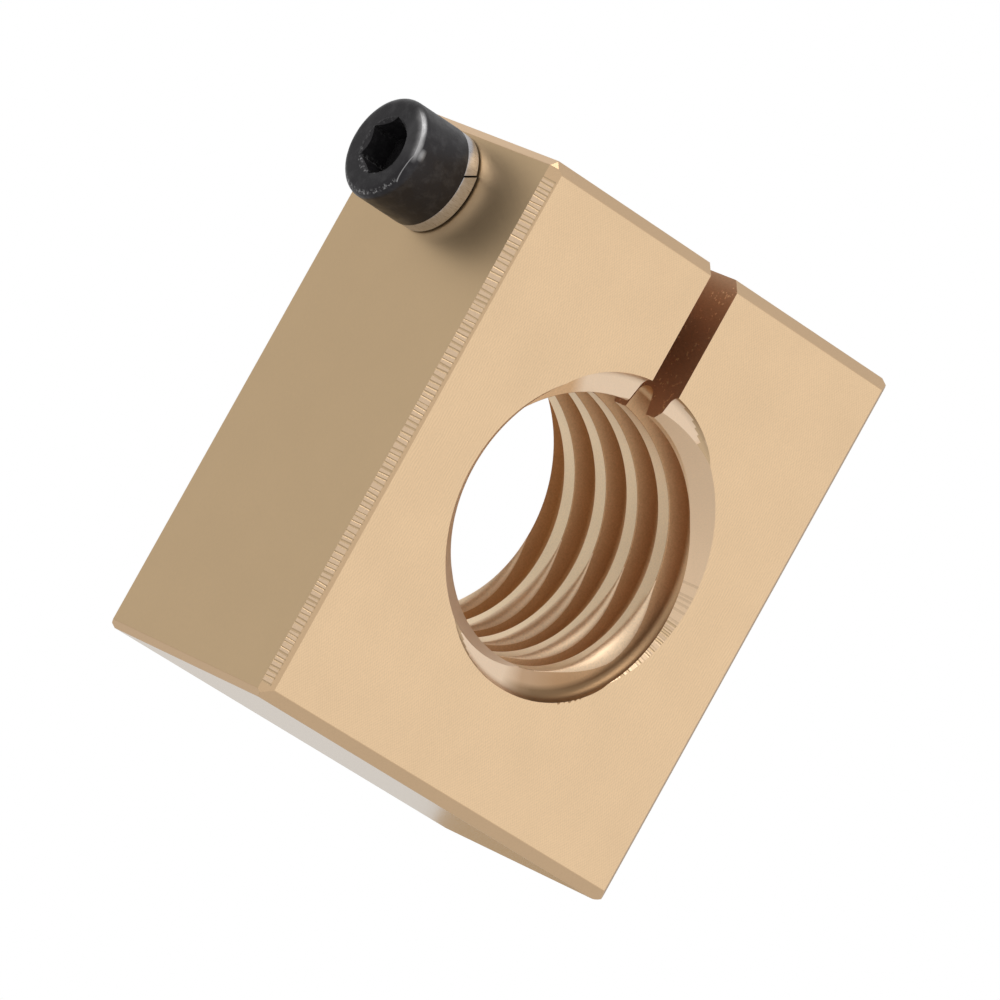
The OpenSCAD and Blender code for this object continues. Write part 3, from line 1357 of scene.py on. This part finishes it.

# %% [markdown]
# ## Black oxide
#
# The cap screw is blackened in hot salts. The layer is thin, so it wears off the
# rounding of the rim first, where keys, fingers and other screws in the box have
# rubbed; the rim's highlights are painted on in the same way, as steel showing
# through. The masks are built from a point's place in the head: X is how deep it
# lies behind the face, and Y and Z are its place from the axis.

# %% Black oxide
OXIDE = (0.026, 0.024, 0.026)
STEEL = (0.54, 0.53, 0.53)
black_oxide, tree, shader = new_finish("black_oxide", OXIDE, 0.6, 0.38)
place = object_place(tree)
from_head = add_node(tree, "ShaderNodeVectorMath", {0: place}, operation="SUBTRACT")
from_head.inputs[1].default_value = (head_face_x, screw_axis.y, screw_axis.z)
axes = add_node(tree, "ShaderNodeSeparateXYZ", {0: from_head.outputs[0]}).outputs
flat_place = add_node(tree, "ShaderNodeCombineXYZ", {"Y": axes["Y"], "Z": axes["Z"]})
radius = add_node(
    tree, "ShaderNodeVectorMath", {0: flat_place.outputs[0]}, operation="LENGTH"
).outputs["Value"]
print("head is measured from", tuple(from_head.inputs[1].default_value))

# %% [markdown]
# Each mark is a mask: a painted sheen on the upper front of the rim with a painted
# highlight line along its crown, one painted highlight spot beside it, and small
# chips of wear along its lower side. Blotches and chips of noise break the masks
# up, because nothing wears evenly.

# %% Wear and painted highlights on the rim
blotches = spread(tree, noise(tree, place, 0.9 * MM, detail=4.0), 0.35, 0.65, 0.55, 1)
chips = spread(tree, noise(tree, place, 0.3 * MM, detail=5.0, rough=0.7), 0.5, 0.62, 0, 1)
# Painted highlights on the rim, shown as steel through the oxide.
rim_painted_sheen = both(
    tree,
    band(tree, axes["X"], 0.3 * MM, 0.02 * MM, 0.3 * MM),
    band(tree, axes["Z"], 2.1 * MM, 1.4 * MM, 1.2 * MM),
    spread(tree, axes["Y"], -1.4 * MM, -2.6 * MM, 0, 1),
    blotches,
)
rim_painted_highlight_line = both(
    tree,
    band(tree, axes["X"], 0.24 * MM, 0.02 * MM, 0.06 * MM),
    band(tree, axes["Z"], 2.1 * MM, 1.6 * MM, 0.8 * MM),
    spread(tree, axes["Y"], -1.4 * MM, -2.6 * MM, 0, 0.9),
)
rim_painted_highlight_spot = both(
    tree,
    band(tree, axes["X"], 0.75 * MM, 0.1 * MM, 0.35 * MM),
    band(tree, axes["Z"], 0.55 * MM, 0.1 * MM, 0.55 * MM),
    spread(tree, axes["Y"], -3.0 * MM, -4.6 * MM, 0, 0.9),
    blotches,
)
rim_chips = both(
    tree,
    band(tree, axes["X"], 0.2 * MM, 0.04 * MM, 0.12 * MM),
    band(tree, axes["Z"], -3.9 * MM, 1.1 * MM, 0.6 * MM),
    spread(tree, radius, 4.0 * MM, 4.4 * MM, 0, 0.8),
    chips,
)
rim_wear_and_highlights = (rim_painted_sheen, rim_painted_highlight_line, rim_painted_highlight_spot, rim_chips)
print("masks on the rim", len(rim_wear_and_highlights))

# %% [markdown]
# One straight scratch crosses the front of the head. It is a narrow band on both
# sides of a line, cut off at the line's two ends and a little behind the face.

# %% Scratch on the head
scratch_start = Vector((0, -4.743 * MM, 0.667 * MM))
scratch_end = Vector((0, -4.106 * MM, -2.467 * MM))
scratch_way = (scratch_end - scratch_start).normalized()
scratch_side = Vector((0, -scratch_way.z, scratch_way.y))


def measured_along(way):
    reach = dot_node(tree, flat_place.outputs[0], way)
    return math_node(tree, "SUBTRACT", reach, scratch_start.dot(way))


scratch_length = (scratch_end - scratch_start).length
scratch = both(
    tree,
    band(tree, measured_along(scratch_side), 0, 0.01 * MM, 0.045 * MM),
    band(tree, measured_along(scratch_way), scratch_length / 2, scratch_length / 2, 0.1 * MM),
    spread(tree, axes["X"], 0.5 * MM, 0.55 * MM, 0.7, 0),
)
print("scratch is", round(scratch_length / MM, 2), "mm long")

# %% [markdown]
# The key has rubbed the socket's mouth, and a fine dust and faint smears lie on
# the whole screw. The strongest mask wins at each point, and says how much steel
# shows through the oxide.

# %% Mix the wear and the painted highlights into the oxide
socket_rub = both(
    tree,
    band(tree, radius, 2.7 * MM, 0.12 * MM, 0.1 * MM),
    spread(tree, axes["Z"], -0.6 * MM, -1.6 * MM, 0.1, 0.5),
    chips,
)
dust = spread(tree, noise(tree, place, 0.12 * MM, detail=4.0), 0.7, 0.76, 0, 0.2)
smears = spread(tree, noise(tree, place, 1.1 * MM, detail=5.0, rough=0.65), 0.48, 0.72, 0, 0.05)
bare = dust
for mask in (smears, *rim_wear_and_highlights, scratch, socket_rub):
    bare = math_node(tree, "MAXIMUM", bare, mask)
oxide_colour = mix_colours(tree, bare, (*OXIDE, 1), (*STEEL, 1))
tree.links.new(oxide_colour, shader.inputs["Base Color"])
cloud = noise(tree, place, 1.2 * MM, detail=4.0)
tree.links.new(spread(tree, cloud, 0.3, 0.7, 0.3, 0.48), shader.inputs["Roughness"])
relief = noise(tree, place, 0.25 * MM, detail=5.0, rough=0.6)
add_bump(tree, shader, relief, 0.006 * MM)
screw_piece.data.materials.clear()
screw_piece.data.materials.append(black_oxide)
print("black oxide is made of", len(tree.nodes), "nodes")

# %% [markdown]
# ## Spring steel
#
# The washer is bare hardened steel. Its noise is stretched along the screw's axis,
# which gives short marks across the wire. The corner beside the block is darkened
# in its colour, a painted shade where the washer meets the block.

# %% Spring steel
WASHER_STEEL = (0.54, 0.53, 0.54)
spring_steel, tree, shader = new_finish("spring_steel", WASHER_STEEL, 1.0, 0.32)
place = object_place(tree)
wire_marks = noise(tree, place, 0.08 * MM, (0.15, 1, 1), 3.0)
amount = spread(tree, wire_marks, 0.3, 0.7, 0.85, 1.12)
axes = add_node(tree, "ShaderNodeSeparateXYZ", {0: place}).outputs
# Towards the block the colour is darkened: a painted shade in the crevice.
crevice = washer_high.x - 0.22 * MM
painted_crevice_shade = spread(tree, axes["X"], crevice, crevice + 0.08 * MM, 1, 0.12)
amount = math_node(tree, "MULTIPLY", amount, painted_crevice_shade)
tree.links.new(tint(tree, WASHER_STEEL, amount), shader.inputs["Base Color"])
tree.links.new(spread(tree, wire_marks, 0.3, 0.7, 0.26, 0.4), shader.inputs["Roughness"])
add_bump(tree, shader, wire_marks, 0.004 * MM)
washer.data.materials.append(spring_steel)
print("spring steel is made of", len(tree.nodes), "nodes")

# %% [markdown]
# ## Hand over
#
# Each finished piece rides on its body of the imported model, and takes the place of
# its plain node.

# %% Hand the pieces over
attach(nut, "nut")
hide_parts("nut_body")
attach(screw_piece, "screw")
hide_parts("clamp_screw")
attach(washer, "washer")
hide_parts("lock_washer")
